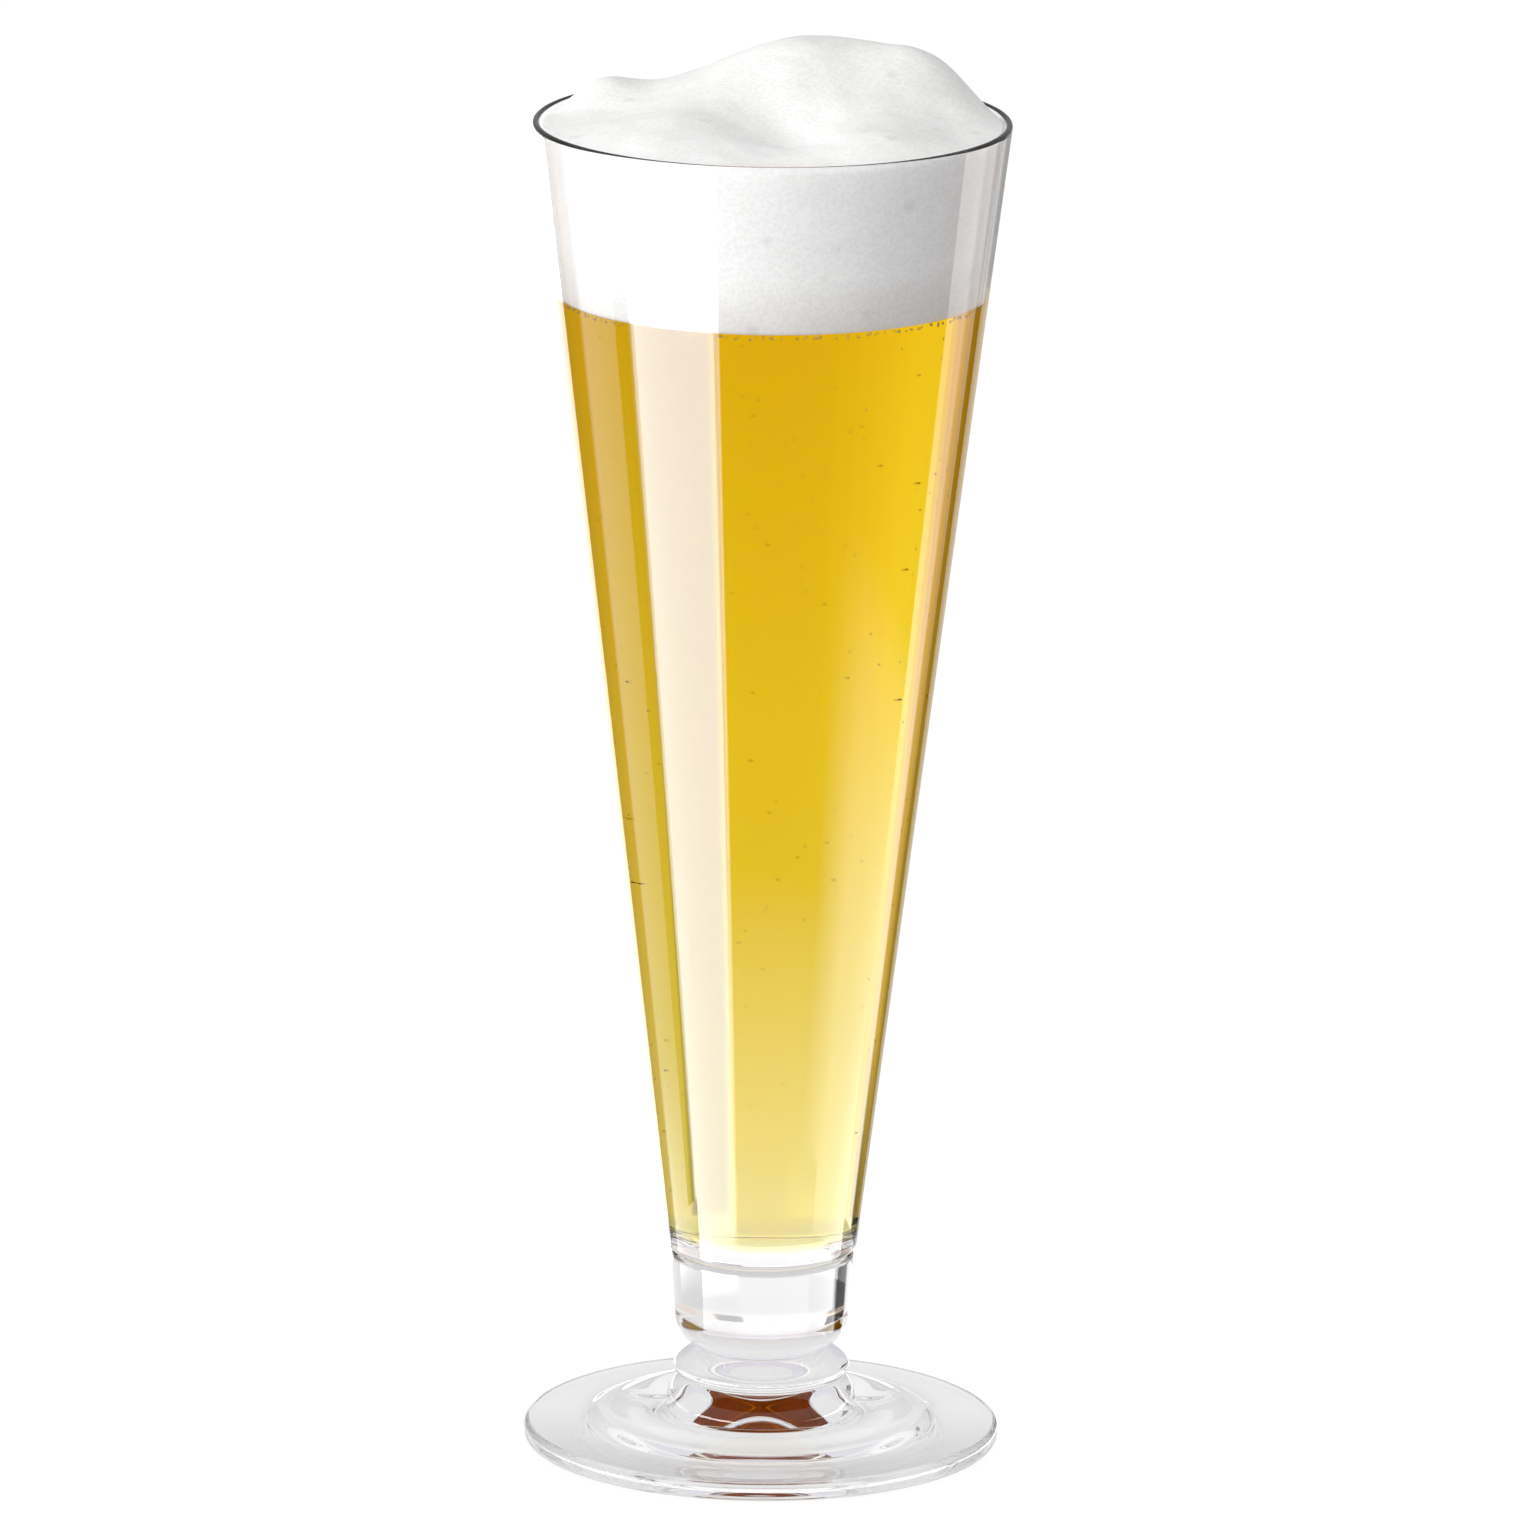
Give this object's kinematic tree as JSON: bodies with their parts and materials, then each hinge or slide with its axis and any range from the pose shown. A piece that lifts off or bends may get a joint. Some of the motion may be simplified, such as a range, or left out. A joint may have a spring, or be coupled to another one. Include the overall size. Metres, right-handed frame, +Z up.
{
  "type": "pilsner glass",
  "caption": "Tall conical footed beer glass on a solid glass block, flattened bead knop and round pressed foot, filled with golden beer under a heaped white foam head.",
  "frame": {"origin": "on the glass's axis, at the table under the foot's resting ring", "axes": "+Z up along the glass's axis, -Y towards the picture's viewer, +X to the viewer's right"},
  "size_m": [0.0764, 0.0764, 0.227],
  "materials": {
    "clear_glass": "clear polished soda-lime glass",
    "beer": "clear golden lager",
    "foam": "fine white beer foam"
  },
  "bodies": {
    "root": {"bowl": "clear_glass", "base_block": "clear_glass", "stem_knop": "clear_glass", "foot": "clear_glass", "beer": "beer", "foam_head": "foam"}
  },
  "joints": []
}
